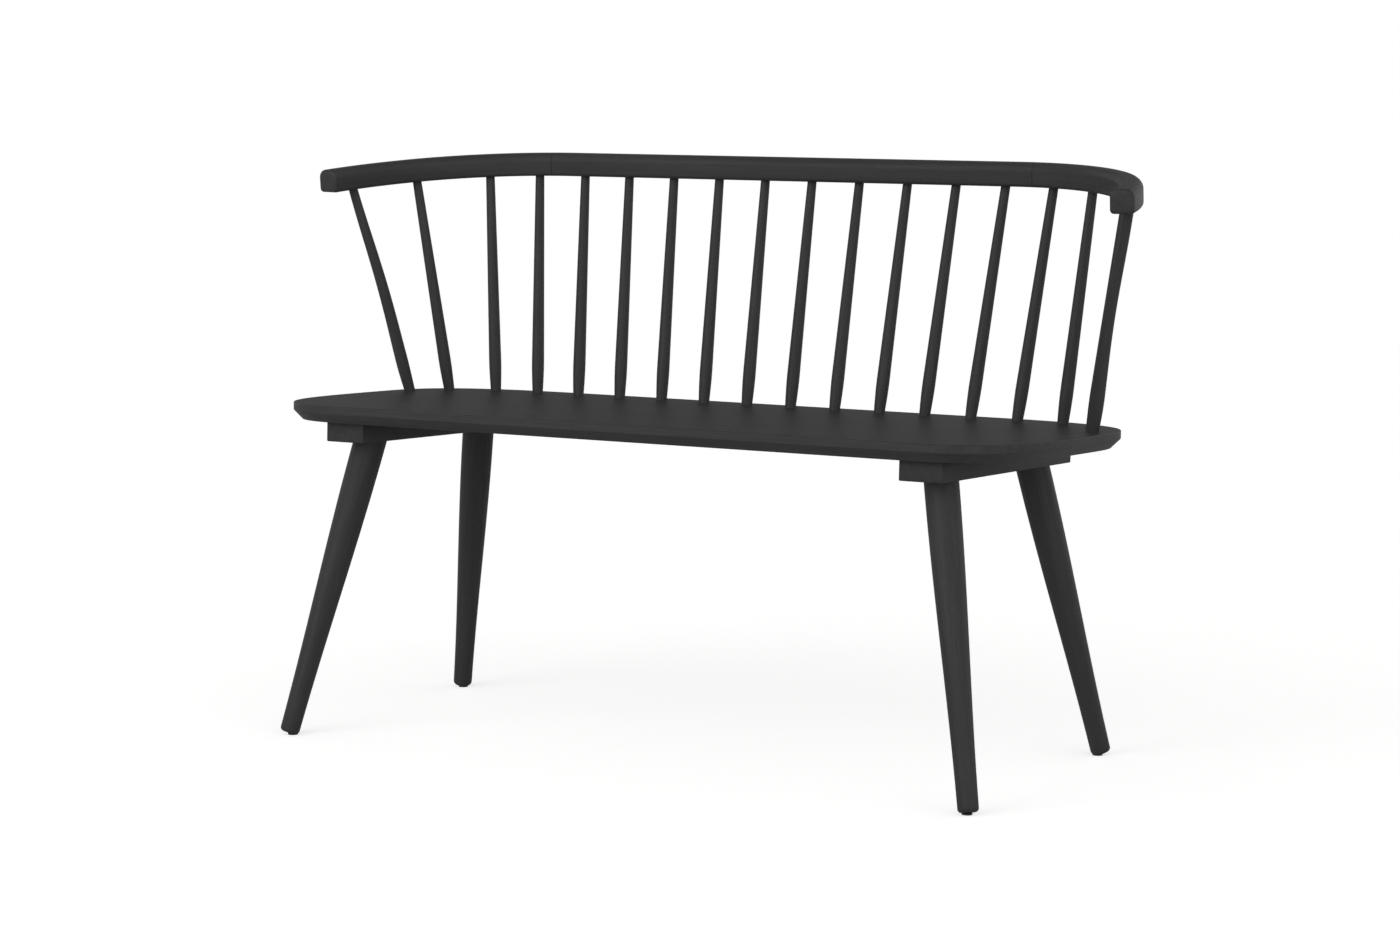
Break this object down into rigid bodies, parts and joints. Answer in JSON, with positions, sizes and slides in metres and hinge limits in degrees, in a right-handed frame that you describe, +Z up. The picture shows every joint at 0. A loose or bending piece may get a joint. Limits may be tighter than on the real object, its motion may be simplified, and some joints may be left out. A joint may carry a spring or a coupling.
{
  "type": "dining bench",
  "caption": "Dining bench with a low bow back on turned spindles, a thin seat board and splayed turned legs.",
  "frame": {"origin": "on the floor under the middle of the bench", "axes": "+X to the right of someone facing the bench, along its length; +Y to its back; +Z up. Left and right are named as that person sees them"},
  "size_m": [1.216, 0.5094, 0.7749],
  "materials": {
    "stained_wood": "black-stained hardwood under a satin lacquer, grain along each piece",
    "beech": "raw beech dowel",
    "zinc_steel": "bright zinc plating",
    "black_nylon": "moulded nylon"
  },
  "bodies": {
    "root": {"seat": "stained_wood", "spindle_01": "stained_wood", "spindle_02": "stained_wood", "spindle_03": "stained_wood", "spindle_04": "stained_wood", "spindle_05": "stained_wood", "spindle_06": "stained_wood", "spindle_07": "stained_wood", "spindle_08": "stained_wood", "spindle_09": "stained_wood", "spindle_10": "stained_wood", "spindle_11": "stained_wood", "spindle_12": "stained_wood", "spindle_13": "stained_wood", "spindle_14": "stained_wood", "spindle_15": "stained_wood", "spindle_16": "stained_wood", "spindle_17": "stained_wood", "spindle_18": "stained_wood", "back_rail": "stained_wood", "left_arm": "stained_wood", "right_arm": "stained_wood", "left_batten": "stained_wood", "right_batten": "stained_wood", "front_left_leg": "stained_wood", "front_right_leg": "stained_wood", "rear_left_leg": "stained_wood", "rear_right_leg": "stained_wood", "left_upper_dowel": "beech", "left_lower_dowel": "beech", "right_upper_dowel": "beech", "right_lower_dowel": "beech", "front_left_hanger_bolt": "zinc_steel", "front_left_insert": "zinc_steel", "front_left_glide": "black_nylon", "front_right_hanger_bolt": "zinc_steel", "front_right_insert": "zinc_steel", "front_right_glide": "black_nylon", "rear_left_hanger_bolt": "zinc_steel", "rear_left_insert": "zinc_steel", "rear_left_glide": "black_nylon", "rear_right_hanger_bolt": "zinc_steel", "rear_right_insert": "zinc_steel", "rear_right_glide": "black_nylon", "left_batten_screw_1": "zinc_steel", "left_batten_screw_2": "zinc_steel", "left_batten_screw_3": "zinc_steel", "left_batten_screw_4": "zinc_steel", "right_batten_screw_1": "zinc_steel", "right_batten_screw_2": "zinc_steel", "right_batten_screw_3": "zinc_steel", "right_batten_screw_4": "zinc_steel"}
  },
  "joints": []
}
